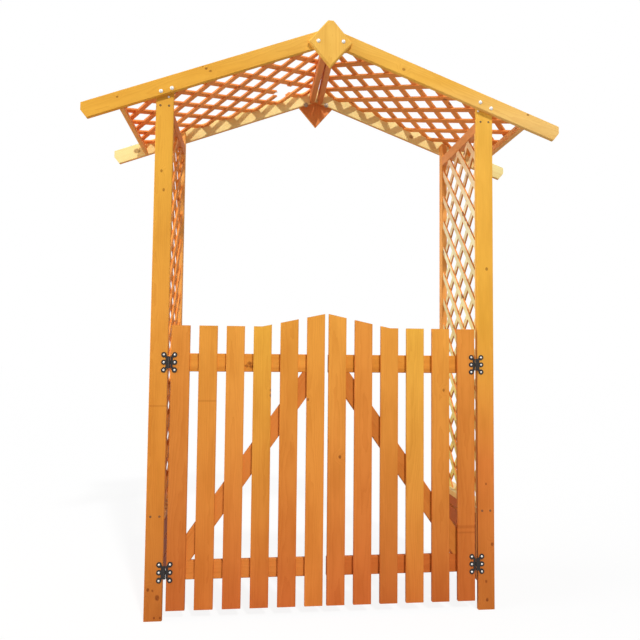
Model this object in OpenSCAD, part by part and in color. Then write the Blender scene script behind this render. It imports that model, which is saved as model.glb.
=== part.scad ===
// Garden arch with a pair of picket gate leaves.
// X runs across the path, Y runs along it away from the front, Z is up.
// The origin is on the ground at the middle of the footprint.

/* [Boards] */
// Width of the pales, rails and braces
board_w = 70; // [50:1:95]
// Thickness of the pales, rails, braces, front posts, rafters and ridge plates
board_t = 18; // [12:1:28]
// Size of the eased corners along the edges of the boards
edge_ease = 2; // [0.5:0.5:4]

/* [Arch] */
// Clear width between the front posts
passage_w = 1220; // [1000:2:1600]
// Width of a front post
post_w = 67; // [50:1:95]
// Depth from the front of the front posts to the back of the rear posts
arch_d = 550; // [400:5:800]
// Height of the ridge, where the top edges of the rafters meet
ridge_h = 2305; // [2000:5:2600]
// Width of the roof from eave to eave
roof_w = 1910; // [1700:2:2300]
// Slope of the rafters in degrees
roof_slope = 20.5; // [12:0.5:30]
// Width of a rafter board
rafter_w = 64; // [58:1:95]
// Height of the square part of a rafter's end, above its chamfer
rafter_nose = 30; // [10:1:40]

/* [Ridge plates] */
// Width of the diamond plate over the ridge joint
plate_w = 175; // [120:1:220]
// Height of the diamond plate before its upper tip is blunted
plate_h = 204; // [140:2:240]
// Drop of the plate's centre below the ridge
plate_drop = 69; // [50:1:90]
// Width of the blunt upper tip
plate_tip = 22; // [6:1:40]
// Bevel round the outer face of the plate
plate_bevel = 4; // [1:0.5:8]
// How much lower the rear plate is fixed than the front one
rear_plate_sag = 18; // [0:1:30]

/* [Side frames] */
// Thickness of the side planks, battens, stiles and rear posts
batten_t = 25; // [18:1:32]
// Width of the battens, stiles and rear posts
batten_w = 45; // [35:1:50]
// Distance that the stiles and rear posts stand back from the edge of the passage
frame_inset = 13; // [0:1:20]
// Height of the foot of the front stiles above the ground
stile_foot = 100; // [40:5:160]
// Height of the top of the lower side planks
low_plank_z = 393; // [340:1:500]
// Gap between the upper side battens and the rafters
top_gap = 19; // [8:1:80]
// Height of the lowest edge of the kick boards
kick_foot = 68; // [20:2:100]
// How far the posts lap over the rafters
post_lap = 38; // [25:1:42]

/* [Lattice] */
// Width of a lattice slat
slat_w = 26; // [16:1:32]
// Thickness of a lattice slat, of two layers
slat_t = 7; // [4:0.5:8]
// Distance between the middles of neighbouring slats
slat_pitch = 89; // [70:1:110]
// Height of a slat crossing of the side lattices above their upper edge
cross_up = 8; // [0:1:44]
// Distance of that crossing behind the middle of the side lattices
cross_back = 18; // [0:1:44]
// Distance down the slope from the ridge to a slat crossing of the left roof lattice
cross_left = 16; // [0:1:60]
// Distance down the slope from the ridge to a slat crossing of the right roof lattice
cross_right = 31; // [0:1:60]
// Place of those crossings along the path, from the back of the front rafters
cross_front = -5; // [-40:1:40]

/* [Roof battens] */
// Thickness of the battens under the roof lattices
roof_batten_t = 18; // [12:1:28]
// Gap between the undersides of the two ridge battens at the front
ridge_gap_front = 1; // [0.5:0.5:30]
// The same gap at the rear
ridge_gap_rear = 9; // [0.5:0.5:40]
// Distance of the eave battens from the end of the rafters, along X
eave_setback = 143; // [100:1:200]

/* [Gate] */
// Distance between the middles of neighbouring pales
pale_pitch = 104; // [90:1:120]
// Height of the underside of the gate above the ground
gate_foot = 36; // [20:1:60]
// Height of the level pale tops
gate_h = 1104; // [1050:2:1200]
// Rise of the pale tops at the middle of the gate
gate_rise = 54; // [20:1:70]
// Distance from the middle of the gate over which the pale tops rise
rise_run = 252; // [150:2:400]
// Height of the middle of the lower rails
low_rail_z = 178; // [140:1:240]
// Depth of the middle of the upper rails below the level pale tops
top_rail_drop = 142; // [104:1:254]
// Gap between the two leaves
leaf_gap = 15; // [10:1:24]

/* [Hinges] */
// Height of a hinge plate
hinge_h = 78; // [60:1:100]
// Width of one half of a hinge
hinge_w = 30; // [22:1:36]
// Thickness of a hinge plate
hinge_t = 2; // [1.5:0.1:3]
// Diameter of the hinge pin
pin_d = 4; // [3:0.1:5]
// Radial clearance between the pin and the moving knuckle
pin_play = 0.1; // [0.05:0.05:0.3]

/* [Hidden] */
$fn = 48;

pine = "#d98a35";
pine_light = "#e6a557";
iron = "#26221f";
PALES = 6;

// Places across and along the path
front_y = -arch_d / 2;                    // front face of the front posts and pales
rear_y = arch_d / 2;                      // back face of the rear posts
post_x = passage_w / 2;                   // inner edge of a front post
frame_x = post_x + frame_inset;           // inner face of a stile and a rear post
stile_y = front_y + board_t;              // front face of a stile
leaf_in = leaf_gap / 2;                   // inner edge of a leaf
leaf_out = leaf_in + (PALES - 1) * pale_pitch + board_w;
hinge_x = (leaf_out + post_x) / 2;
high_rail_z = gate_h - top_rail_drop;     // middle of an upper rail

// Roof: drops are plumb heights below the top edge of the rafters
fall = tan(roof_slope);
rafter_drop = rafter_w / cos(roof_slope);
lattice_t = 2 * slat_t;
lattice_drop = (rafter_w - batten_w) / cos(roof_slope);   // underside of the lattice, top of its battens
eave_x = roof_w / 2;
nose_w = (rafter_w - rafter_nose) * 0.7;
function roof_z(x) = ridge_h - fall * x;
ridge_batten_x = ridge_gap_front / 2 + batten_w * sin(roof_slope);
ridge_spread = (ridge_gap_rear - ridge_gap_front) / 2 / cos(roof_slope);
roof_lattice_x = ridge_batten_x + ridge_spread * cos(roof_slope) / 2;
eave_batten_x = eave_x - eave_setback;
side_top_z = roof_z(frame_x + batten_t) - rafter_drop - top_gap;
side_run = rear_y - batten_w - stile_y;   // from the back of a front post to the front of a rear post

// Hinge
knuckle_r = pin_d / 2 + 2.2;
hinge_y = front_y - knuckle_r;
knuckle_gap = 0.5;
knuckle_h = hinge_h / 5;

// Both sides of the arch are alike: the left one is the mirror of the right one
module side(left) {
    if (left) mirror([1, 0, 0]) children();
    else children();
}

// Outline in X and Z given thickness from y0 to y0 + t
module upright(y0, t) {
    translate([0, y0 + t, 0]) rotate([90, 0, 0]) linear_extrude(t) children();
}

// Cross-section of a board with eased corners
module section(w, t) {
    e = edge_ease;
    polygon([[e, 0], [w - e, 0], [w, e], [w, t - e], [w - e, t], [e, t], [0, t - e], [0, e]]);
}

// Board of a size, running along X, Y or Z from a corner
module board(corner, size, along) {
    translate(corner) {
        if (along == "x") rotate([90, 0, 90]) linear_extrude(size.x) section(size.y, size.z);
        if (along == "y") translate([0, size.y, 0]) rotate([90, 0, 0])
            linear_extrude(size.y) section(size.x, size.z);
        if (along == "z") linear_extrude(size.z) section(size.x, size.y);
    }
}

// Post from a corner on the ground, with its top cut to the roof's slope where it laps the rafters
module post(corner, w, t) {
    top = [for (x = [0, eave_x]) [x, roof_z(x) - rafter_drop + post_lap]];
    intersection() {
        board(corner, [w, t, top[0].y], "z");
        upright(-arch_d, 2 * arch_d) polygon([[eave_x, -w], [0, -w], top[0], top[1]]);
    }
}

module front_post(left) {
    color(pine) side(left) post([post_x, front_y, 0], post_w, board_t);
}

module rear_post(left) {
    color(pine) side(left) post([frame_x, rear_y - batten_w, 0], batten_t, batten_w);
}

// The stile behind the front post is cut where the low plank passes
module stile(left) {
    color(pine) side(left)
        for (z = [[stile_foot, low_plank_z - batten_t], [low_plank_z, side_top_z - batten_w]])
            board([frame_x, stile_y, z[0]], [batten_t, batten_w, z[1] - z[0]], "z");
}

// Flat plank between the front and rear posts, as wide as the front post
module low_plank(left) {
    color(pine) side(left)
        board([post_x, stile_y, low_plank_z - batten_t], [post_w, side_run, batten_t], "y");
}

// Batten on edge, from the front post over the stile to the rear post
module top_batten(left) {
    color(pine) side(left)
        board([frame_x, stile_y, side_top_z - batten_w], [batten_t, side_run, batten_w], "y");
}

// Boards on the outer faces of the stile and rear post, below the low plank
module kick_boards(left) {
    top = low_plank_z - batten_t;
    boards = floor((top - kick_foot) / board_w);
    pitch = (top - kick_foot - board_w) / (boards - 1);
    color(pine) side(left) for (i = [0:boards - 1])
        board([frame_x + batten_t, stile_y, kick_foot + i * pitch],
              [board_t, rear_y - stile_y, board_w], "y");
}

// One layer of slats on a panel of length l and width w, measured from the crossing at c and turned
// by the angle: a slat is left out where it would only clip a corner of the panel
module slats(l, w, c, angle, z0) {
    across = [for (x = [0, l], y = [0, w]) (y - c.y) * cos(angle) - (x - c.x) * sin(angle)];
    first = ceil((min(across) + slat_w / 2) / slat_pitch);
    last = floor((max(across) - slat_w / 2) / slat_pitch);
    rotate([0, 0, angle]) for (i = [first:last])
        translate([-l - w, i * slat_pitch - slat_w / 2, z0]) cube([2 * (l + w), slat_w, slat_t]);
}

// Two layers of slats over a panel lying on z = 0, with a crossing at c
module lattice(l, w, c, lower_angle = 45) {
    intersection() {
        cube([l, w, lattice_t]);
        translate([c.x, c.y, 0]) {
            slats(l, w, c, lower_angle, 0);
            slats(l, w, c, -lower_angle, slat_t);
        }
    }
}

// The side lattice stands in the middle of the frame, between stile, rear post, plank and batten
module side_lattice(left) {
    length = side_top_z - batten_w - low_plank_z;
    width = side_run - batten_w;
    color(pine_light) side(left)
        translate([frame_x + batten_t / 2 + slat_t, stile_y + batten_w, low_plank_z]) rotate([0, -90, 0])
            lattice(length, width, [length + cross_up, width / 2 + cross_back], -45);
}

// Rafter with a plumb cut at the ridge and a chamfer under its nose
module rafter(left, y0) {
    long = eave_x / cos(roof_slope);
    color(pine) side(left) intersection() {
        translate([0, y0, ridge_h]) rotate([0, roof_slope, 0])
            board([-rafter_w, 0, -rafter_w], [long + 2 * rafter_w, board_t, rafter_w], "x");
        upright(y0 - board_t, 3 * board_t) polygon([
            [0, 0], [0, ridge_h + rafter_w], [eave_x, ridge_h + rafter_w],
            [eave_x, roof_z(eave_x) - rafter_nose],
            [eave_x - nose_w, roof_z(eave_x - nose_w) - rafter_drop], [eave_x - 2 * nose_w, 0]
        ]);
    }
}

// Diamond plate lying on z = 0, with its upper tip blunt and its outer face bevelled
module diamond() {
    tip_y = plate_h / 2 * (1 - plate_tip / plate_w);
    outline = [
        [-plate_w / 2, 0], [0, -plate_h / 2], [plate_w / 2, 0],
        [plate_tip / 2, tip_y], [-plate_tip / 2, tip_y]
    ];
    hull() {
        linear_extrude(board_t - plate_bevel) polygon(outline);
        linear_extrude(board_t) offset(delta = -plate_bevel) polygon(outline);
    }
}

module ridge_plate(y, turn, sag) {
    color(pine) translate([0, y, ridge_h - plate_drop - sag]) rotate([90, 0, turn]) diamond();
}

// Places its children on the roof's slope under the lattice, starting at x
module on_slope(left, x) {
    side(left) translate([x, front_y, roof_z(x) - lattice_drop]) rotate([0, roof_slope, 0]) children();
}

// Batten between the rafters, square to the roof, with its upper inner corner at x and its rear
// end further down the slope by the spread
module roof_batten(left, x, spread = 0) {
    color(pine) on_slope(left, x) intersection() {
        rotate([0, 0, -atan(spread / arch_d)])
            board([0, -batten_w, -batten_w], [roof_batten_t, arch_d + 2 * batten_w, batten_w], "y");
        translate([-arch_d, 0, -arch_d]) cube([2 * arch_d, arch_d, 2 * arch_d]);
    }
}

// The left roof lattice has lost a piece at one crossing: stubs of its two slats are left
module roof_lattice(left) {
    length = (eave_batten_x - roof_lattice_x) / cos(roof_slope) + roof_batten_t;
    crossing = [(left ? cross_left : cross_right) - roof_lattice_x / cos(roof_slope), cross_front];
    stub = 1;
    color(pine_light) on_slope(left, roof_lattice_x) difference() {
        lattice(length, arch_d, crossing, left ? 45 : -45);
        if (left) translate([crossing.x, crossing.y, 0]) rotate([0, 0, 45])
            translate([4 * slat_pitch + slat_w / 2 + stub, 2 * slat_pitch - slat_w / 2 - 2 * stub, -1])
                cube([slat_pitch + stub, slat_pitch + stub, lattice_t + 2]);
    }
}

// Pale number i, counted from the post: its top follows the rise towards the middle
module pale(left, i) {
    x0 = leaf_out - board_w - (i - 1) * pale_pitch;
    highest = gate_h + gate_rise;
    color(pine) side(left) intersection() {
        board([x0, front_y, gate_foot], [board_w, board_t, highest - gate_foot], "z");
        upright(front_y - board_t, 3 * board_t)
            polygon([[0, 0], [0, highest], [rise_run, gate_h], [post_x, gate_h], [post_x, 0]]);
    }
}

module rail(left, mid_z) {
    color(pine) side(left)
        board([leaf_in, front_y + board_t, mid_z - board_w / 2],
              [leaf_out - leaf_in, board_t, board_w], "x");
}

// Diagonal between the rails, from the lower hinge corner up to the middle of the gate
module brace(left) {
    foot = [leaf_out, front_y + board_t, low_rail_z + board_w / 2];
    area = [leaf_out - leaf_in, board_t, high_rail_z - low_rail_z - board_w];
    diagonal = norm([area.x, area.z]);
    slope = atan2(area.z, area.x) + asin(board_w / diagonal);
    color(pine) side(left) intersection() {
        translate([leaf_in, foot.y, foot.z]) cube(area);
        translate(foot) rotate([0, slope - 180, 0])
            board([-diagonal / 2, 0, 0], [2 * diagonal, board_t, board_w], "x");
    }
}

// Ornamental plate of one hinge half, reaching towards +X from the pin, with tabs to its knuckles
module hinge_plate(tabs) {
    lobe_r = hinge_h / 8;
    inner_x = knuckle_r + 0.6;
    body_h = 3 * knuckle_h;
    difference() {
        linear_extrude(hinge_t) {
            translate([inner_x, -body_h / 2]) square([hinge_w * 0.45 - inner_x, body_h]);
            for (v = tabs)
                translate([0, v * knuckle_h - knuckle_h / 2 + knuckle_gap / 2])
                    square([hinge_w * 0.3, knuckle_h - knuckle_gap]);
            for (v = [-1, 1]) {
                translate([hinge_w - lobe_r, v * (hinge_h / 2 - lobe_r)]) circle(lobe_r);
                translate([hinge_w * 0.3, v * body_h / 2 - lobe_r / 2])
                    square([hinge_w * 0.5, lobe_r]);
            }
            translate([hinge_w - lobe_r, 0]) circle(lobe_r);
            translate([hinge_w * 0.3, -lobe_r * 0.8]) square([hinge_w * 0.4, lobe_r * 1.6]);
        }
        for (v = [-1, 0, 1])
            translate([hinge_w - lobe_r, v * (hinge_h / 2 - lobe_r), -1])
                cylinder(d = 4.5, h = hinge_t + 2);
    }
}

// One half: its plate against the wood and its knuckles round the pin
module hinge_half(fixed) {
    tabs = fixed ? [-1, 1] : [0];
    difference() {
        union() {
            translate([0, knuckle_r, 0]) rotate([90, 0, 0]) mirror([fixed ? 0 : 1, 0, 0]) hinge_plate(tabs);
            for (v = tabs) translate([0, 0, v * knuckle_h - knuckle_h / 2 + knuckle_gap / 2])
                cylinder(r = knuckle_r, h = knuckle_h - knuckle_gap);
        }
        if (!fixed) translate([0, 0, -knuckle_h])
            cylinder(d = pin_d + 2 * pin_play, h = 2 * knuckle_h);
    }
    if (fixed) translate([0, 0, -knuckle_h * 1.5]) cylinder(d = pin_d, h = 3 * knuckle_h);
}

module hinges(left, fixed) {
    color(iron) side(left) for (z = [low_rail_z, high_rail_z])
        translate([hinge_x, hinge_y, z]) hinge_half(fixed);
}

front_post(true);  // post_front_left
front_post(false);  // post_front_right
rear_post(true);  // post_rear_left
rear_post(false);  // post_rear_right
stile(true);  // stile_left
stile(false);  // stile_right
top_batten(true);  // side_plank_top_left
top_batten(false);  // side_plank_top_right
low_plank(true);  // side_plank_low_left
low_plank(false);  // side_plank_low_right
kick_boards(true);  // kick_boards_left
kick_boards(false);  // kick_boards_right
side_lattice(true);  // side_lattice_left
side_lattice(false);  // side_lattice_right
rafter(true, front_y - board_t);  // rafter_front_left
rafter(false, front_y - board_t);  // rafter_front_right
rafter(true, rear_y);  // rafter_rear_left
rafter(false, rear_y);  // rafter_rear_right
ridge_plate(front_y - board_t, 0, 0);  // ridge_plate_front
ridge_plate(rear_y + board_t, 180, rear_plate_sag);  // ridge_plate_rear
roof_batten(true, ridge_batten_x, ridge_spread);  // ridge_batten_left
roof_batten(false, ridge_batten_x, ridge_spread);  // ridge_batten_right
roof_batten(true, eave_batten_x);  // eave_batten_left
roof_batten(false, eave_batten_x);  // eave_batten_right
roof_lattice(true);  // roof_lattice_left
roof_lattice(false);  // roof_lattice_right
hinges(true, true);  // post_hinges_left
hinges(false, true);  // post_hinges_right
pale(true, 1);  // pale_left_1
pale(true, 2);  // pale_left_2
pale(true, 3);  // pale_left_3
pale(true, 4);  // pale_left_4
pale(true, 5);  // pale_left_5
pale(true, 6);  // pale_left_6
pale(false, 1);  // pale_right_1
pale(false, 2);  // pale_right_2
pale(false, 3);  // pale_right_3
pale(false, 4);  // pale_right_4
pale(false, 5);  // pale_right_5
pale(false, 6);  // pale_right_6
rail(true, high_rail_z);  // rail_top_left
rail(false, high_rail_z);  // rail_top_right
rail(true, low_rail_z);  // rail_low_left
rail(false, low_rail_z);  // rail_low_right
brace(true);  // brace_left
brace(false);  // brace_right
hinges(true, false);  // gate_hinges_left
hinges(false, false);  // gate_hinges_right
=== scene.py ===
"""Looks of the garden arch with gate: stained pine, black hinges, zinc screws, studio floor and light."""

import math
import random

import bmesh
import bpy
from mathutils import Euler, Matrix, Vector


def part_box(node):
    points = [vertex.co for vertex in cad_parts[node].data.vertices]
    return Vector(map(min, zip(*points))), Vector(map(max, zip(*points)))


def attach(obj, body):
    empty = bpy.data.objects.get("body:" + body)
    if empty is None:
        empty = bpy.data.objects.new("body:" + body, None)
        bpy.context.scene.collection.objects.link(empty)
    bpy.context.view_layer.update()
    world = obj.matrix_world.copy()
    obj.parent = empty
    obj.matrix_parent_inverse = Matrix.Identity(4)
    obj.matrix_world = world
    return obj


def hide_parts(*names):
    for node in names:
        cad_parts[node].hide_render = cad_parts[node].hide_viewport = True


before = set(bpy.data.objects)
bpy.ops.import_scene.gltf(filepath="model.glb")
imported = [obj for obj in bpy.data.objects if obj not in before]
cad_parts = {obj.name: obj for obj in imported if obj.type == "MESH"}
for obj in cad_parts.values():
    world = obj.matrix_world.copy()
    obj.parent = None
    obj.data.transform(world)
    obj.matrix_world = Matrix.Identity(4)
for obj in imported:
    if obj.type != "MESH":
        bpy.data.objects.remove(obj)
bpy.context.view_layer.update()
MM = 0.001

# Driving sizes of the arch and the gate, in mm
ARCH_DEPTH, RIDGE_HEIGHT = 550, 2305
BOARD_THICK, BOARD_WIDTH = 18, 70
BATTEN_THICK, BATTEN_HIGH = 25, 45
SLAT_PITCH, SLAT_THICK = 89, 7
PALE_PITCH = 104
LEAF_REACH = 597.5                        # from the arch's middle to a leaf's hinge edge
SLOPE = math.radians(20.5)                # of the roof
FRONT_Y = -ARCH_DEPTH / 2
RAFTER_Y = FRONT_Y - BOARD_THICK          # front face of the front rafters
TIP_Y = RAFTER_Y - BOARD_THICK            # front face of the front ridge plate
POST_BACK_Y = FRONT_Y + BOARD_THICK
GATE_BACK_Y = FRONT_Y + 2 * BOARD_THICK   # back face of the rails and braces
SIDES = (("left", -1), ("right", 1))
WHITE = (1, 1, 1, 1)
TONE_TOP = 2.3                            # height in m at which a piece's last tone is reached


# ---------------------------------------------------------------- colours and shader nodes

def shade(red, green, blue):
    """A colour from a paint card, in steps of 0 to 255, as the renderer's linear colour."""
    def linear(step):
        share = step / 255
        return share / 12.92 if share <= 0.04045 else ((share + 0.055) / 1.055) ** 2.4
    return (linear(red), linear(green), linear(blue), 1.0)


class Value:
    """An output of a shader node. Arithmetic on it adds Math nodes to the same finish."""

    def __init__(self, finish, socket):
        self.finish, self.socket = finish, socket

    def math(self, operation, *terms):
        return self.finish.node("Math", {"operation": operation}, *terms)

    def __add__(self, other):
        return self.math("ADD", self, other)

    def __radd__(self, other):
        return self.math("ADD", other, self)

    def __sub__(self, other):
        return self.math("SUBTRACT", self, other)

    def __rsub__(self, other):
        return self.math("SUBTRACT", other, self)

    def __mul__(self, other):
        return self.math("MULTIPLY", self, other)

    def __rmul__(self, other):
        return self.math("MULTIPLY", other, self)

    def __truediv__(self, other):
        return self.math("DIVIDE", self, other)

    def __rtruediv__(self, other):
        return self.math("DIVIDE", other, self)

    def __pow__(self, other):
        return self.math("POWER", self, other)

    def __gt__(self, other):
        return self.math("GREATER_THAN", self, other)

    def __lt__(self, other):
        return self.math("LESS_THAN", self, other)

    def __abs__(self):
        return self.math("ABSOLUTE", self)

    def fraction(self):
        return self.math("FRACT", self)

    def nearest(self):
        return self.math("ROUND", self)

    def root(self):
        return self.math("SQRT", self)


class Finish:
    """The shader nodes of one material."""

    def __init__(self, name):
        self.material = bpy.data.materials.new(name)
        self.material.use_nodes = True
        self.tree = self.material.node_tree
        self.coat = self.tree.nodes["Principled BSDF"]
        self.place = self.tree.nodes.new("ShaderNodeTexCoord")

    def feed(self, entry, value):
        """Joins an input to a value made earlier, or sets it to a constant."""
        if isinstance(value, Value):
            self.tree.links.new(value.socket, entry)
        else:
            entry.default_value = value

    def node(self, kind, settings, *values, out=0, **named):
        """Adds a node: its settings first, then its inputs in order or by name."""
        made = self.tree.nodes.new("ShaderNode" + kind)
        for key, setting in settings.items():
            setattr(made, key, setting)
        for entry, value in zip(made.inputs, values):
            self.feed(entry, value)
        for key, value in named.items():
            self.feed(made.inputs[key], value)
        return Value(self, made.outputs[out])

    def mix(self, share, first, second, how="MIX"):
        """Blends two colours by a share."""
        made = self.tree.nodes.new("ShaderNodeMix")
        made.data_type, made.blend_type = "RGBA", how
        for entry, value in zip((made.inputs[0], made.inputs[6], made.inputs[7]), (share, first, second)):
            self.feed(entry, value)
        return Value(self, made.outputs[2])

    def ramp(self, share, stops):
        """A colour that changes through the given (place, colour) stops."""
        made = self.tree.nodes.new("ShaderNodeValToRGB")
        elements = made.color_ramp.elements
        while len(elements) < len(stops):
            elements.new(0.5)
        while len(elements) > len(stops):
            elements.remove(elements[-1])
        for element, (place, colour) in zip(elements, stops):
            element.position, element.color = place, colour
        self.feed(made.inputs[0], share)
        return Value(self, made.outputs[0])

    def steps(self, value, low, high):
        """0 below low, 1 above high and smooth between."""
        return self.node("MapRange", {"interpolation_type": "SMOOTHSTEP"}, value, low, high, 0.0, 1.0)

    def noise(self, vector, scale, detail=2.0, roughness=0.5):
        return self.node("TexNoise", {}, Vector=vector, Scale=scale, Detail=detail, Roughness=roughness)

    def split(self, vector):
        return [self.node("SeparateXYZ", {}, vector, out=i) for i in range(3)]

    def join(self, x, y, z):
        return self.node("CombineXYZ", {}, x, y, z)

    def object_place(self):
        return Value(self, self.place.outputs["Object"])

    def local(self, centre, turn):
        """Places measured from centre, along axes turned by the Euler angles."""
        settings = {"vector_type": "TEXTURE"}
        return self.node("Mapping", settings, self.object_place(), tuple(centre), tuple(turn))

    def tones(self, height, tones, painted_light_faces=None):
        """Tones spread evenly from the ground up to the ridge. Where painted_light_faces is (tones, way),
        faces that look that way take those tones instead: painted light and shade, paler where light fell and
        darker where shade fell."""
        def spread(colours):
            last = max(len(colours) - 1, 1)
            stops = [(i / last, shade(*colour)) for i, colour in enumerate(colours)]
            return self.ramp(height / TONE_TOP, stops)
        base = spread(tones)
        if painted_light_faces:
            painted_light_tones, way = painted_light_faces
            # Painted light and shade: faces that look the given way take their own tones.
            base = self.mix(self.steps(self.looks_along(way), 0.25, 0.6), base, spread(painted_light_tones))
        return base

    def looks_along(self, way):
        """How far a face looks a given way: 1 straight along it, 0 square to it, -1 away from it."""
        facing = Value(self, self.place.outputs["Normal"])
        return self.node("VectorMath", {"operation": "DOT_PRODUCT"}, facing, way, out=1)

    def wear(self, **inputs):
        """Sets the coat's inputs by name, with _ for a space."""
        for key, value in inputs.items():
            self.feed(self.coat.inputs[key.replace("_", " ")], value)
        return self.material


# ---------------------------------------------------------------- wood

def turned(across, through, along):
    """Euler angles of axes given as directions: across a board's width, through it, and along its grain."""
    columns = [Vector(v).normalized() for v in (across, through, along)]
    return Matrix([[c[i] for c in columns] for i in range(3)]).to_euler()


def pine(name, centre, turn, tones, knots=(), seed=0, scars_and_shade_lines=(), painted_light_faces=None):
    """Stained pine. Grain runs along the board's own third axis. Tones are colours from the ground up to the
    roof, knots are (x, z, radius) and scars_and_shade_lines (height, width) of faint dark lines across, in mm
    from the origin: most are scars, those low on the top rails are painted shade. painted_light_faces gives
    faces that look one way tones of their own, painted light and shade."""
    dice = random.Random(seed)
    f = Finish(name)
    local = f.local(centre, turn)
    x, y, z = f.split(local)
    height = f.split(f.object_place())[2]
    sway = f.noise(f.join(x * 2.0, y * 2.0 + seed * 1.7, z * 1.1), 2.2, 2.0)
    pith_x = dice.uniform(-0.03, 0.03)
    pith_y = dice.choice((-1, 1)) * dice.uniform(0.02, 0.07)
    lean = dice.uniform(-0.02, 0.02)
    dx = x - pith_x + z * lean + (sway - 0.5) * 0.03
    dy = y - pith_y + z * lean * 0.6 + (sway - 0.5) * 0.02
    far = (dx * dx + dy * dy).root()
    dark_knot = None
    way = Euler(turn).to_matrix().transposed()
    for knot_x, knot_z, radius in knots:
        spot = way @ (Vector((knot_x * MM, centre[1], knot_z * MM)) - Vector(centre))
        a = (x - spot.x) / (radius * MM)
        b = (z - spot.z) / (radius * MM * 1.35)
        spread = (a * a + b * b).root()
        far = far + (1.0 - f.steps(spread, 0.6, 4.5)) * radius * MM * 1.6
        edge = f.noise(local, 260.0, 2.0) * 0.5 + 0.75
        here = 1.0 - f.steps(spread * edge, 0.62, 1.12)
        dark_knot = here if dark_knot is None else dark_knot.math("MAXIMUM", dark_knot, here)
    ring = (far * 210.0 + f.noise(f.join(x * 3.0, y * 3.0, z * 0.5 + seed), 30.0, 1.0) * 0.9).fraction()
    late = ring ** 2.2
    fibre = f.noise(f.join(x * 1.0, y * 1.0 + seed, z * 0.012), 1500.0, 2.0)
    patch = f.noise(f.join(x * 2.2, y * 2.2 + seed * 0.37, z * 0.55), 7.0, 3.0)
    base = f.tones(height, tones, painted_light_faces)
    base = f.mix(late * 0.34, base, (0.80, 0.62, 0.42, 1), "MULTIPLY")
    base = f.mix(f.steps(fibre, 0.42, 0.72) * 0.22, base, (0.86, 0.74, 0.60, 1), "MULTIPLY")
    base = f.mix(f.steps(patch, 0.35, 0.7), f.mix(1.0, base, (1.06, 1.07, 1.12, 1), "MULTIPLY"),
                 f.mix(1.0, base, (0.95, 0.91, 0.85, 1), "MULTIPLY"))
    # Faint dark lines across the board: scars, and low on the top rails painted shade.
    for line_z, width in scars_and_shade_lines:
        near = abs(height - line_z * MM + (sway - 0.5) * 0.004)
        line = 1.0 - f.steps(near, width * MM * 0.3, width * MM)
        base = f.mix(line * 0.5, base, (0.72, 0.58, 0.46, 1), "MULTIPLY")
    if dark_knot is not None:
        cloud = f.steps(f.noise(local, 120.0), 0.35, 0.65)
        heart = f.mix(cloud, (0.56, 0.42, 0.34, 1), (0.34, 0.24, 0.20, 1))
        base = f.mix(dark_knot * 0.85, base, heart, "MULTIPLY")
    grain_way = Matrix.Identity(3)
    grain_way.rotate(Euler(turn))
    end = f.looks_along(tuple(grain_way.col[2]))
    base = f.mix(f.steps(abs(end), 0.75, 0.95) * 0.55, base, (0.80, 0.70, 0.60, 1), "MULTIPLY")
    relief = f.node("Bump", {}, Strength=0.35, Distance=0.0006, Height=late * 0.5 + fibre * 0.6)
    return f.wear(Base_Color=base, Roughness=0.56 + fibre * 0.16, Normal=relief, Specular_IOR_Level=0.15)


def slats(name, centre, turn, tones, pitch, thickness, lower_across, seed=0, painted_light_faces=None):
    """Stained thin slats in two crossed layers. The lattice's own third axis goes through it from its lower
    layer, and the slats run at 45 degrees to the other two."""
    f = Finish(name)
    l, m, n = f.split(f.local(centre, turn))
    height = f.split(f.object_place())[2]
    one, two = (l + m) * math.sqrt(0.5), (l - m) * math.sqrt(0.5)
    upper = n > thickness
    if lower_across:
        one, two = two, one
    along = two * upper + one * (1.0 - upper)
    aside = one * upper + two * (1.0 - upper)
    number = (aside / pitch).nearest() + upper * 40.0 + seed
    chance = f.node("TexWhiteNoise", {"noise_dimensions": "1D"}, W=number)
    second = f.node("TexWhiteNoise", {"noise_dimensions": "1D"}, W=number + 0.5)
    spot = f.join(aside, number * 0.731 + n * 0.5, along)
    sx, sy, sz = f.split(spot)
    sway = f.noise(f.join(sx, sy, sz * 1.5), 3.0, 2.0)
    ring = ((aside + sway * 0.05 + chance * 0.3) * 190.0 + sz * (second - 0.5) * 6.0).fraction() ** 2.0
    fibre = f.noise(f.join(sx, sy, sz * 0.015), 1300.0, 2.0)
    base = f.tones(height, tones, painted_light_faces)
    base = f.mix(chance, f.mix(1.0, base, (1.09, 1.10, 1.10, 1), "MULTIPLY"),
                 f.mix(1.0, base, (0.88, 0.82, 0.76, 1), "MULTIPLY"))
    base = f.mix(ring * 0.36, base, (0.78, 0.62, 0.46, 1), "MULTIPLY")
    base = f.mix(f.steps(fibre, 0.42, 0.7) * 0.25, base, (0.84, 0.72, 0.58, 1), "MULTIPLY")
    speck = f.steps(f.noise(f.join(sx, sy, sz * 0.6), 26.0, 1.0), 0.70, 0.76)
    base = f.mix(speck * 0.7, base, shade(140, 72, 34))
    relief = f.node("Bump", {}, Strength=0.3, Distance=0.0005, Height=ring * 0.4 + fibre * 0.6)
    return f.wear(Base_Color=base, Roughness=0.58 + fibre * 0.15, Normal=relief, Specular_IOR_Level=0.12)


def black_iron(name):
    f = Finish(name)
    cloud = f.noise(f.object_place(), 90.0, 3.0)
    grit = f.noise(f.object_place(), 1600.0, 2.0)
    base = f.mix(cloud, shade(26, 22, 20), shade(42, 37, 34))
    relief = f.node("Bump", {}, Strength=0.25, Distance=0.0003, Height=grit)
    return f.wear(Base_Color=base, Roughness=0.34 + cloud * 0.22, Normal=relief, Metallic=0.25)


def put_on(node, material):
    """Gives a CAD node its material."""
    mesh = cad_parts[node].data
    mesh.materials.clear()
    mesh.materials.append(material)


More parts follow.
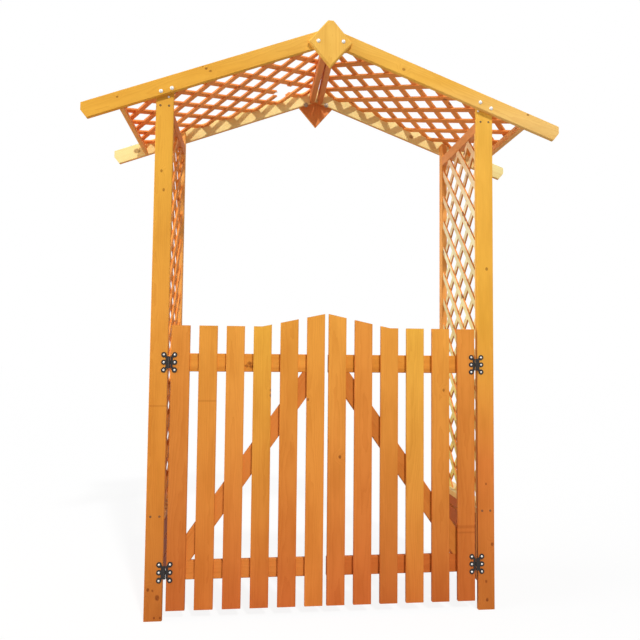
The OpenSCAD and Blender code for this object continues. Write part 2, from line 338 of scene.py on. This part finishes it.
def sloped(sign):
    """Turn of a board that falls from the ridge to a side: -1 to the left, 1 to the right."""
    return turned((sign * math.sin(SLOPE), 0, math.cos(SLOPE)), (0, -sign, 0),
                  (sign * math.cos(SLOPE), 0, -math.sin(SLOPE)))


def braced(sign):
    """Turn of a leaf's brace, which climbs from the hinge side's foot towards the middle."""
    climb = math.radians(54.77)
    return turned((math.sin(climb), 0, sign * math.cos(climb)), (0, 1, 0),
                  (-sign * math.cos(climb), 0, math.sin(climb)))


UP = turned((1, 0, 0), (0, 1, 0), (0, 0, 1))          # posts, stiles and pales
ALONG_X = turned((0, 0, -1), (0, 1, 0), (1, 0, 0))    # rails
ALONG_Y = turned((1, 0, 0), (0, 0, -1), (0, 1, 0))    # flat planks and battens
KICK = turned((0, 0, 1), (1, 0, 0), (0, 1, 0))        # boards on the sides

# Stains of the boards in front, roughly from the darkest to the palest
CHESTNUT = (190, 98, 41)
UMBER = (190, 109, 43)
RUST = (201, 103, 46)
BRICK = (205, 112, 46)
COPPER = (210, 128, 51)
AMBER = (217, 126, 53)
OCHRE = (218, 137, 50)
TAN = (225, 139, 61)
HONEY = (231, 150, 60)
SYRUP = (233, 158, 60)
GOLD = (240, 165, 66)
CORN = (238, 175, 62)
STRAW = (244, 184, 70)
BUTTER = (246, 192, 86)
CREAM = (253, 200, 82)

# Stains of the boards behind and at the sides; the last two are pale tones of painted light, not stains
REAR = [(214, 130, 64), (236, 158, 76), (246, 174, 86), (252, 182, 94), (252, 186, 100)]
REAR_RIGHT = [(226, 140, 64), (240, 165, 80), (250, 180, 96), (240, 160, 82)]
RAFTER_END, RAFTER_REAR = (246, 203, 122), (240, 170, 88)
KICK_OUTSIDE = (222, 146, 66)
# Painted light: pale tones for faces that stood in the light, the rear rafters' front faces and, from the
# ground up, the right lattice's inner faces
SUNLIT_FRONT_PAINT = [(255, 238, 164)]
SUNLIT_INNER_PAINT = [(255, 222, 104), (255, 232, 136), (255, 250, 206), (244, 160, 84)]

# Each board's turn and its tones from the ground up to the ridge; boards with several tones are darker
# towards the ground
BOARDS = {
    "post_front_left": (UP, [UMBER, OCHRE, SYRUP, CORN, CORN]),
    "post_front_right": (UP, [UMBER, AMBER, CORN, STRAW, CREAM]),
    "post_rear_left": (UP, REAR),
    "post_rear_right": (UP, REAR_RIGHT),
    "stile_left": (UP, REAR),
    "stile_right": (UP, REAR),
    # Painted light: the right side's planks are paler than the left's, for the light that falls on that side.
    "side_plank_top_left": (ALONG_Y, [(226, 140, 76)]),
    "side_plank_top_right": (ALONG_Y, [(240, 164, 98)]),
    "side_plank_low_left": (ALONG_Y, [(226, 160, 90)]),
    "side_plank_low_right": (ALONG_Y, [(250, 200, 116)]),
    "kick_boards_left": (KICK, [KICK_OUTSIDE]),
    "kick_boards_right": (KICK, [KICK_OUTSIDE]),
    "rafter_front_left": (sloped(-1), [CORN] * 12 + [BUTTER]),
    "rafter_front_right": (sloped(1), [STRAW] * 10 + [RAFTER_END, STRAW, BUTTER]),
    "rafter_rear_left": (sloped(-1), [RAFTER_REAR]),
    "rafter_rear_right": (sloped(1), [RAFTER_REAR]),
    "ridge_plate_front": (UP, [BUTTER]),
    "ridge_plate_rear": (UP, [(240, 168, 84)]),
    "ridge_batten_left": (ALONG_Y, [(199, 120, 70)]),
    "ridge_batten_right": (ALONG_Y, [(199, 120, 70)]),
    "eave_batten_left": (ALONG_Y, [(236, 158, 86)]),
    "eave_batten_right": (ALONG_Y, [(248, 186, 110)]),
    "pale_left_1": (UP, [CHESTNUT, HONEY, HONEY]),
    "pale_left_2": (UP, [BRICK, SYRUP, SYRUP]),
    "pale_left_3": (UP, [RUST, GOLD, GOLD]),
    "pale_left_4": (UP, [RUST, CORN, CORN]),
    "pale_left_5": (UP, [RUST, SYRUP, SYRUP]),
    "pale_left_6": (UP, [AMBER, SYRUP, SYRUP]),
    "pale_right_1": (UP, [CHESTNUT, HONEY, HONEY]),
    "pale_right_2": (UP, [CHESTNUT, GOLD, GOLD]),
    "pale_right_3": (UP, [BRICK, STRAW, STRAW]),
    "pale_right_4": (UP, [CHESTNUT, GOLD, GOLD]),
    "pale_right_5": (UP, [RUST, HONEY, HONEY]),
    "pale_right_6": (UP, [RUST, GOLD, GOLD]),
    "rail_top_left": (ALONG_X, [GOLD]),
    "rail_top_right": (ALONG_X, [SYRUP]),
    "rail_low_left": (ALONG_X, [TAN]),
    "rail_low_right": (ALONG_X, [BRICK]),
    "brace_left": (braced(-1), [TAN]),
    "brace_right": (braced(1), [COPPER]),
}
# Knots as (x, z, radius) in mm
KNOTS = {
    "rafter_front_left": [(-486, 2106, 5), (-470, 2097, 5), (-499, 2113, 3), (-820, 1975, 4)],
    "rafter_front_right": [(822, 1990, 5), (300, 2150, 6)],
    "rafter_rear_left": [(-852, 1952, 13)],
    "rafter_rear_right": [(480, 2085, 10)],
    "post_front_left": [(-640, 1626, 5), (-605, 1622, 5), (-603, 1600, 5), (-628, 86, 9), (-663, 116, 6),
                        (-646, 112, 4), (-638, 13, 4), (-616, 13, 4), (-650, 1700, 5)],
    "post_front_right": [(667, 253, 6), (642, 109, 5), (646, 38, 6), (643, 489, 4), (650, 1350, 6)],
    "post_rear_left": [(-636, 1200, 6)],
    "post_rear_right": [(636, 900, 6)],
    "pale_left_4": [(-218, 858, 4), (-217, 838, 5)],
    "pale_left_6": [(-72, 822, 5)],
    "pale_right_2": [(470, 860, 5)],
    "pale_right_6": [(55, 600, 6)],
    "rail_top_left": [(-300, 960, 8), (-292, 948, 8), (-311, 950, 7)],
    "rail_low_right": [(250, 170, 8)],
}
# Faces with tones of their own, as (tones, the way they look): painted light and shade. The right stile's
# inner face, the eave battens' undersides, the rear rafters' front faces and the right low plank's top are
# painted paler, as light; the kick boards' inner faces and the rear ridge plate's front are painted darker,
# as shade
PAINTED_LIGHT_FACES = {
    "stile_right": ([(255, 184, 92), (255, 206, 112)], (-1, 0, 0)),
    "eave_batten_left": ([(243, 185, 102)], (0, 0, -1)),
    "eave_batten_right": ([(255, 202, 124)], (0, 0, -1)),
    "rafter_rear_left": (SUNLIT_FRONT_PAINT, (0, -1, 0)),
    "rafter_rear_right": (SUNLIT_FRONT_PAINT, (0, -1, 0)),
    "ridge_plate_rear": ([(238, 152, 84)], (0, -1, 0)),
    "side_plank_low_right": ([(255, 234, 168)], (0, 0, 1)),
    "kick_boards_left": ([(176, 88, 40)], (1, 0, 0)),
    "kick_boards_right": ([(186, 96, 42)], (-1, 0, 0)),
}
# Faint dark lines across a board, as (height, width) in mm: scars, except the wide ones low on the top rails,
# which are painted shade darkening each rail's lower third
SCARS_AND_SHADE_LINES = {
    "rail_top_left": [(934, 19)],
    "rail_top_right": [(936, 15)],
    "pale_left_2": [(816, 5)],
    "pale_right_1": [(322, 9), (300, 5)],
    "post_front_left": [(797, 5)],
}

for number, (node, (turn, tones)) in enumerate(BOARDS.items()):
    low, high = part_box(node)
    put_on(node, pine("pine_" + node, (low + high) / 2, turn, tones, KNOTS.get(node, ()), number + 1,
                      scars_and_shade_lines=SCARS_AND_SHADE_LINES.get(node, ()), painted_light_faces=PAINTED_LIGHT_FACES.get(node)))


# ---------------------------------------------------------------- lattices

def roof_axes(sign):
    """A roof lattice's way down the slope and its way out of the roof."""
    return (Vector((sign * math.cos(SLOPE), 0, -math.sin(SLOPE))),
            Vector((sign * math.sin(SLOPE), 0, math.cos(SLOPE))))


def roof_crossing(sign):
    """A crossing of slats on the underside of a roof lattice, in mm."""
    down, _ = roof_axes(sign)
    top_gap, from_front = 19, -280
    from_ridge = 31 if sign > 0 else 16
    return Vector((0, from_front, RIDGE_HEIGHT - top_gap / math.cos(SLOPE))) + down * from_ridge


def side_crossing(side, sign):
    """A crossing of slats on the outer face of a side lattice, in m."""
    low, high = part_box("side_lattice_" + side)
    behind, above = 27, 8
    return Vector((high.x if sign > 0 else low.x, behind * MM, high.z + above * MM))


ROOF_STAINS = {"left": [(253, 166, 90)], "right": [(250, 163, 84)]}
SIDE_STAIN = [(232, 148, 69), (248, 166, 81)]
for side, sign in SIDES:
    down, out = roof_axes(sign)
    put_on("roof_lattice_" + side,
           slats("slats_roof_lattice_" + side, roof_crossing(sign) * MM, turned(down, out.cross(down), out),
                 ROOF_STAINS[side], SLAT_PITCH * MM, SLAT_THICK * MM, True, seed=3 + sign))
# Painted light: faces of the right lattice that look inward take pale tones of their own.
for side, sign in SIDES:
    inner = Vector((-sign, 0, 0))
    put_on("side_lattice_" + side,
           slats("slats_side_lattice_" + side, side_crossing(side, sign),
                 turned((0, 0, 1), inner.cross(Vector((0, 0, 1))), inner),
                 SIDE_STAIN, SLAT_PITCH * MM, SLAT_THICK * MM, sign > 0, seed=20 + sign,
                 painted_light_faces=(SUNLIT_INNER_PAINT, (-1, 0, 0)) if sign > 0 else None))

iron = black_iron("black_iron")
for node in ("post_hinges_left", "post_hinges_right", "gate_hinges_left", "gate_hinges_right"):
    put_on(node, iron)


# ---------------------------------------------------------------- ridge battens

def ridge_batten(side, sign):
    """A batten on edge under the ridge, plumb and slightly askew, so that the pair parts towards the rear."""
    shape = bmesh.new()
    bmesh.ops.create_cube(shape, size=1.0)
    bmesh.ops.scale(shape, vec=Vector((BATTEN_THICK, ARCH_DEPTH, BATTEN_HIGH)) * MM, verts=shape.verts)
    bmesh.ops.bevel(shape, geom=shape.edges[:], offset=2 * MM, affect="EDGES", segments=2, profile=0.5,
                    material=-1, offset_type="OFFSET")
    drift, front_gap, foot = 5.5, 1.5, 2227
    askew = Matrix.Identity(4)
    askew[0][1] = sign * drift / ARCH_DEPTH
    bmesh.ops.transform(shape, matrix=askew, verts=shape.verts)
    middle = Vector((sign * (front_gap + drift / 2 + BATTEN_THICK / 2), 0, foot + BATTEN_HIGH / 2))
    bmesh.ops.translate(shape, vec=middle * MM, verts=shape.verts)
    name = "ridge_batten_" + side + "_plumb"
    piece = bpy.data.objects.new(name, as_mesh(shape, name))
    stain = pine("pine_" + name, (sign * 17 * MM, 0, 2.25), ALONG_Y, [(232, 146, 80)], seed=60 + sign)
    piece.data.materials.append(stain)
    bpy.context.scene.collection.objects.link(piece)
    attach(piece, "arch")
    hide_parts("ridge_batten_" + side)


# ---------------------------------------------------------------- screws, bolts and nails

def spun(outline, sides):
    """A closed turned shape about its third axis, from (radius, height) steps in mm."""
    shape = bmesh.new()
    points = [shape.verts.new((radius * MM, 0, height * MM)) for radius, height in outline]
    edges = [shape.edges.new(pair) for pair in zip(points, points[1:])]
    bmesh.ops.spin(shape, geom=points + edges, cent=(0, 0, 0), axis=(0, 0, 1), dvec=(0, 0, 0),
                   angle=math.tau, steps=sides, use_merge=True, use_duplicate=False)
    bmesh.ops.remove_doubles(shape, verts=shape.verts, dist=1e-6)
    bmesh.ops.recalc_face_normals(shape, faces=shape.faces)
    return shape


def as_mesh(shape, name):
    """Turns a bmesh into a mesh whose round faces are smooth and whose corners stay sharp."""
    for face in shape.faces:
        face.smooth = True
    mesh = bpy.data.meshes.new(name)
    shape.to_mesh(mesh)
    shape.free()
    mesh.set_sharp_from_angle(angle=math.radians(40))
    return mesh


def cross_cut(head, depth, reach, name):
    """The head with a cross recess in its top, in mm: reach is an arm's length, depth its floor's level."""
    cutter = bmesh.new()
    arm_width, tall = reach * 0.42, 6
    for size in ((2 * reach, arm_width, tall), (arm_width, 2 * reach, tall)):
        made = bmesh.ops.create_cube(cutter, size=1.0)
        bmesh.ops.scale(cutter, vec=Vector(size) * MM, verts=made["verts"])
        bmesh.ops.translate(cutter, vec=(0, 0, (depth + tall / 2) * MM), verts=made["verts"])
    pair = [bpy.data.objects.new(name + "_" + part, as_mesh(shape, name + "_" + part))
            for part, shape in (("blank", head), ("cutter", cutter))]
    for item in pair:
        bpy.context.scene.collection.objects.link(item)
    cut = pair[0].modifiers.new("recess", "BOOLEAN")
    cut.operation, cut.solver, cut.object, cut.use_self = "DIFFERENCE", "EXACT", pair[1], True
    mesh = bpy.data.meshes.new_from_object(pair[0].evaluated_get(bpy.context.evaluated_depsgraph_get()))
    for item in pair:
        bpy.data.objects.remove(item)
    return mesh


def set_out(name, pattern, spots, body, finish, seed=0):
    """Copies of a pattern, each at a (point in mm, outward direction), as one piece on a body."""
    dice = random.Random(seed)
    shape = bmesh.new()
    for point, outward in spots:
        before = len(shape.verts)
        shape.from_mesh(pattern)
        shape.verts.ensure_lookup_table()
        way = (Matrix.Translation(Vector(point) * MM)
               @ Vector(outward).to_track_quat("Z", "Y").to_matrix().to_4x4()
               @ Matrix.Rotation(dice.uniform(0, math.tau), 4, "Z"))
        bmesh.ops.transform(shape, matrix=way, verts=shape.verts[before:])
    piece = bpy.data.objects.new(name, as_mesh(shape, name))
    piece.data.materials.append(finish)
    bpy.context.scene.collection.objects.link(piece)
    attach(piece, body)


def zinc(name, light, dark, roughness):
    """Plated steel with a cloudy, slightly scuffed coat."""
    f = Finish(name)
    cloud = f.noise(f.object_place(), 420.0, 3.0)
    scuff = f.steps(f.noise(f.object_place(), 1900.0, 2.0), 0.45, 0.75)
    base = f.mix(scuff * 0.5, f.mix(cloud, light, dark), dark)
    relief = f.node("Bump", {}, Strength=0.2, Distance=0.0002, Height=scuff)
    return f.wear(Base_Color=base, Roughness=roughness + cloud * 0.2, Normal=relief, Metallic=0.35)


FRONT, BACK = (0, -1, 0), (0, 1, 0)
# Outlines as (radius, height) in mm, from the shank's foot to the middle of the head
PAN = [(0, -6), (1.9, -6), (1.9, 0), (3.9, 0), (3.9, 0.7), (3.4, 1.5), (2.2, 2.0), (0, 2.1)]
FLAT = [(0, -3), (1.6, -3), (4.0, -0.2), (4.1, 0.3), (3.6, 0.55), (0, 0.6)]
DOME = [(0, -2), (8, -2), (8, 0), (7.8, 0.8), (7, 2.4), (5.4, 3.8), (3.1, 4.7), (0, 5.1)]
SMALL_DOME = [(0, -2), (4.6, -2), (4.6, 0), (4.2, 1.2), (2.8, 2.4), (0, 2.8)]
BOLT_END = [(0, -2), (11, -2), (11, 0), (10.6, 1.4), (4, 1.4), (4, 1.6), (4, 9.0), (3.2, 9.8), (0, 9.8)]
NUT = [(3.4, 1.2), (7.4, 1.2), (7.9, 1.7), (7.9, 6.6), (7.4, 7.1), (3.4, 7.1), (3.4, 1.2)]
NAIL = [(0, -3), (2.3, -3), (2.3, 0.3), (1.7, 0.9), (0, 1.0)]

pan_head = cross_cut(spun(PAN, 20), 0.8, 2.1, "pan_head")
flat_head = cross_cut(spun(FLAT, 20), -0.9, 2.3, "flat_head")
dome_head = as_mesh(spun(DOME, 28), "dome_head")
small_dome = as_mesh(spun(SMALL_DOME, 16), "small_dome")
nut_end = as_mesh(spun(BOLT_END, 24), "nut_end")
hex_nut = as_mesh(spun(NUT, 6), "hex_nut")
nail_head = as_mesh(spun(NAIL, 8), "nail_head")

bright_zinc = zinc("bright_zinc", (0.92, 0.91, 0.88, 1), (0.74, 0.72, 0.68, 1), 0.28)
dull_zinc = zinc("dull_zinc", (0.60, 0.54, 0.42, 1), (0.34, 0.26, 0.16, 1), 0.42)
dark_steel = zinc("dark_steel", (0.16, 0.08, 0.04, 1), (0.07, 0.035, 0.02, 1), 0.5)

for side, sign in SIDES:
    ridge_batten(side, sign)

# Screws of the hinges and of the leaves
RAIL_LEVELS, SCREW_STEP = (178, 962), 29.25
PIN_X, SCREW_FROM_PIN = 603.75, 20.25
HINGE_FACE_Y = FRONT_Y - 2
RAIL_SLANT, KICK_SLANT = 0.9, 0.3         # rise to run, and run to rise, between a board's two screws
BRACE_FOOT, BRACE_RISE, BRACE_RUN = 213, 714, 590
for side, sign in SIDES:
    leaf = "leaf_" + side
    levels = [z + step for z in RAIL_LEVELS for step in (-SCREW_STEP, 0, SCREW_STEP)]
    on_post, on_leaf = sign * (PIN_X + SCREW_FROM_PIN), sign * (PIN_X - SCREW_FROM_PIN)
    set_out("post_hinge_screws_" + side, pan_head,
            [((on_post, HINGE_FACE_Y, z), FRONT) for z in levels], "arch", bright_zinc, 11)
    set_out("gate_hinge_screws_" + side, pan_head,
            [((on_leaf, HINGE_FACE_Y, z), FRONT) for z in levels], leaf, bright_zinc, 12)
    centres = [LEAF_REACH - BOARD_WIDTH / 2 - PALE_PITCH * i for i in range(6)]
    rail_spots = [((sign * x + off, GATE_BACK_Y, z + off * RAIL_SLANT), BACK)
                  for x in centres for z in RAIL_LEVELS for off in (-17, 17)]
    brace_spots = [((sign * x, GATE_BACK_Y, BRACE_FOOT + (LEAF_REACH - x) / BRACE_RUN * BRACE_RISE), BACK)
                   for x in centres[1:-1]]
    set_out("gate_screws_" + side, flat_head, rail_spots + brace_spots, leaf, dull_zinc, 13)

# Bolts of the rafters and the ridge plates
REAR_SAG = 18
rafter_bolts = [(-656, 2007), (-615, 2021), (620, 2032), (665, 2009)]
rear_rafter_bolts = [(-636, 2018), (636, 2018)]
plate_bolts = [(-49, 2237), (51, 2240)]
bolts = [((x, RAFTER_Y, z), FRONT) for x, z in rafter_bolts]
bolts += [((x, TIP_Y, z), FRONT) for x, z in plate_bolts]
bolts += [((x, -TIP_Y, z - REAR_SAG), BACK) for x, z in plate_bolts]
bolts += [((x, -RAFTER_Y, z), BACK) for x, z in rear_rafter_bolts]
set_out("coach_bolts", dome_head, bolts, "arch", bright_zinc, 14)
nuts = [((x, POST_BACK_Y, z), BACK) for x, z in rafter_bolts]
nuts += [((x, FRONT_Y, z), BACK) for x, z in plate_bolts]
nuts += [((x, -FRONT_Y, z - REAR_SAG), FRONT) for x, z in plate_bolts]
set_out("bolt_ends", nut_end, nuts, "arch", dull_zinc, 15)
set_out("bolt_nuts", hex_nut, nuts, "arch", dull_zinc, 16)
lap_spots = [((x, FRONT_Y, z), FRONT) for x, z in ((-629, 1993), (617, 2002))]
set_out("lap_screws", small_dome, lap_spots, "arch", bright_zinc, 17)

# Screws of the side frames and the kick boards
KICK_FOOT, KICK_TOP, KICK_FACE_X = 68, 368, 666
KICK_STEP = (KICK_TOP - KICK_FOOT - BOARD_WIDTH) / 3
frame_spots = [((sign * x, FRONT_Y, z), FRONT) for _, sign in SIDES for x in (627, 660) for z in (1958, 384)]
frame_spots += [((sign * 635.5, -FRONT_Y, z), BACK) for _, sign in SIDES for z in (1952, 380)]
for _, sign in SIDES:
    for row in range(4):
        for y in (-234.5, 252.5):
            for up in (18, 52):
                aside = (up - BOARD_WIDTH / 2) * KICK_SLANT
                spot = (sign * KICK_FACE_X, y + aside, KICK_FOOT + row * KICK_STEP + up)
                frame_spots.append((spot, (sign, 0, 0)))
set_out("frame_screws", flat_head, frame_spots, "arch", dark_steel, 18)


def lattice_nails(name, crossing, one, two, out, node, seed, gone=()):
    """A nail at each crossing of a node's slats, all in mm. one and two are the ways that the slats run."""
    low, high = (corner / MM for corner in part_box(node))
    inset, reach, thin = 11, 24, 40
    spots = []
    for i in range(-reach, reach + 1):
        for j in range(-reach, reach + 1):
            point = crossing + (one * i + two * j) * SLAT_PITCH
            inside = all(a + inset < p < b - inset for a, b, p in zip(low, high, point) if b - a > thin)
            if inside and (i, j) not in gone:
                spots.append((point, out))
    set_out(name, nail_head, spots, "arch", dull_zinc, seed)


for side, sign in SIDES:
    rising, falling = Vector((0, 1, 1)).normalized(), Vector((0, 1, -1)).normalized()
    lattice_nails("side_nails_" + side, side_crossing(side, sign) / MM, rising, falling, (sign, 0, 0),
                  "side_lattice_" + side, 19)
    down, out = roof_axes(sign)
    along = Vector((0, 1, 0))
    missing_slat = [(5, 2), (2, 5)] if sign < 0 else []
    lattice_nails("roof_nails_" + side, roof_crossing(sign) + out * 2 * SLAT_THICK,
                  (down + along).normalized(), (down - along).normalized(), out,
                  "roof_lattice_" + side, 20, missing_slat)


# ---------------------------------------------------------------- floor, light and camera

def white_floor(name):
    """White where it is lit, also to the eye and in reflections, with the object's soft shadow on it."""
    f = Finish(name)
    seen, glossy, through = (f.node("LightPath", {}, out=kind)
                             for kind in ("Is Camera Ray", "Is Glossy Ray", "Is Transmission Ray"))
    seen = seen.math("MAXIMUM", seen, glossy.math("MAXIMUM", glossy, through))
    f.wear(Base_Color=f.mix(seen, (0.5, 0.5, 0.5, 1), WHITE), Roughness=0.9, Specular_IOR_Level=0.1)
    glow = f.node("Emission", {}, Color=WHITE, Strength=1.0)
    both = f.node("MixShader", {}, seen * 0.88, Value(f, f.coat.outputs[0]), glow)
    f.tree.links.new(both.socket, f.tree.nodes["Material Output"].inputs["Surface"])
    return f.material


def floor():
    """A wide ground that stays out of the part."""
    shape = bmesh.new()
    bmesh.ops.create_grid(shape, x_segments=1, y_segments=1, size=30)
    mesh = bpy.data.meshes.new("floor")
    shape.to_mesh(mesh)
    shape.free()
    ground = bpy.data.objects.new("floor", mesh)
    bpy.context.scene.collection.objects.link(ground)
    mesh.materials.append(white_floor("white_floor"))


def studio_light():
    """A soft grey sky that looks white, a key sun from high in front and a wide fill from the left."""
    world = bpy.data.worlds.new("studio")
    bpy.context.scene.world = world
    world.use_nodes = True
    nodes, links = world.node_tree.nodes, world.node_tree.links
    seen = nodes.new("ShaderNodeLightPath")
    bright = seen.outputs["Is Camera Ray"]
    for kind in ("Is Glossy Ray", "Is Transmission Ray"):
        either = nodes.new("ShaderNodeMath")
        either.operation = "MAXIMUM"
        links.new(bright, either.inputs[0])
        links.new(seen.outputs[kind], either.inputs[1])
        bright = either.outputs[0]
    tint = nodes.new("ShaderNodeMix")
    tint.data_type = "RGBA"
    links.new(bright, tint.inputs[0])
    tint.inputs[6].default_value = (0.28, 0.28, 0.28, 1)
    tint.inputs[7].default_value = WHITE
    links.new(tint.outputs[2], nodes["Background"].inputs["Color"])
    suns = (("key", 2.2, 4, (0.20, -0.68, 0.70)), ("left_fill", 3.0, 50, (-0.98, -0.06, 0.20)))
    for name, energy, spread, way in suns:
        sun = bpy.data.lights.new(name, "SUN")
        sun.energy = energy
        sun.angle = math.radians(spread)
        lamp = bpy.data.objects.new(name, sun)
        lamp.rotation_euler = Vector(way).to_track_quat("Z", "Y").to_euler()
        bpy.context.scene.collection.objects.link(lamp)


def camera():
    """A camera low in front of the arch, a little left of the middle and tilted up."""
    yaw, pitch, roll = (math.radians(angle) for angle in (6.085, 3.082, 0.571))
    right = Vector((math.cos(yaw), -math.sin(yaw), 0))
    ahead = Vector((math.sin(yaw) * math.cos(pitch), math.cos(yaw) * math.cos(pitch), math.sin(pitch)))
    above = right.cross(ahead)
    across = right * math.cos(roll) + above * math.sin(roll)
    upward = above * math.cos(roll) - right * math.sin(roll)
    lens = bpy.data.cameras.new("camera")
    lens.lens = 34.21
    lens.sensor_width = 36
    lens.clip_end = 100
    eye = bpy.data.objects.new("camera", lens)
    turn = Matrix((across, upward, -ahead)).transposed()
    eye.matrix_world = Matrix.Translation((-0.2807, -2.6434, 1.0039)) @ turn.to_4x4()
    bpy.context.scene.collection.objects.link(eye)
    bpy.context.scene.camera = eye


floor()
studio_light()
camera()
bpy.context.scene.view_settings.view_transform = "Standard"
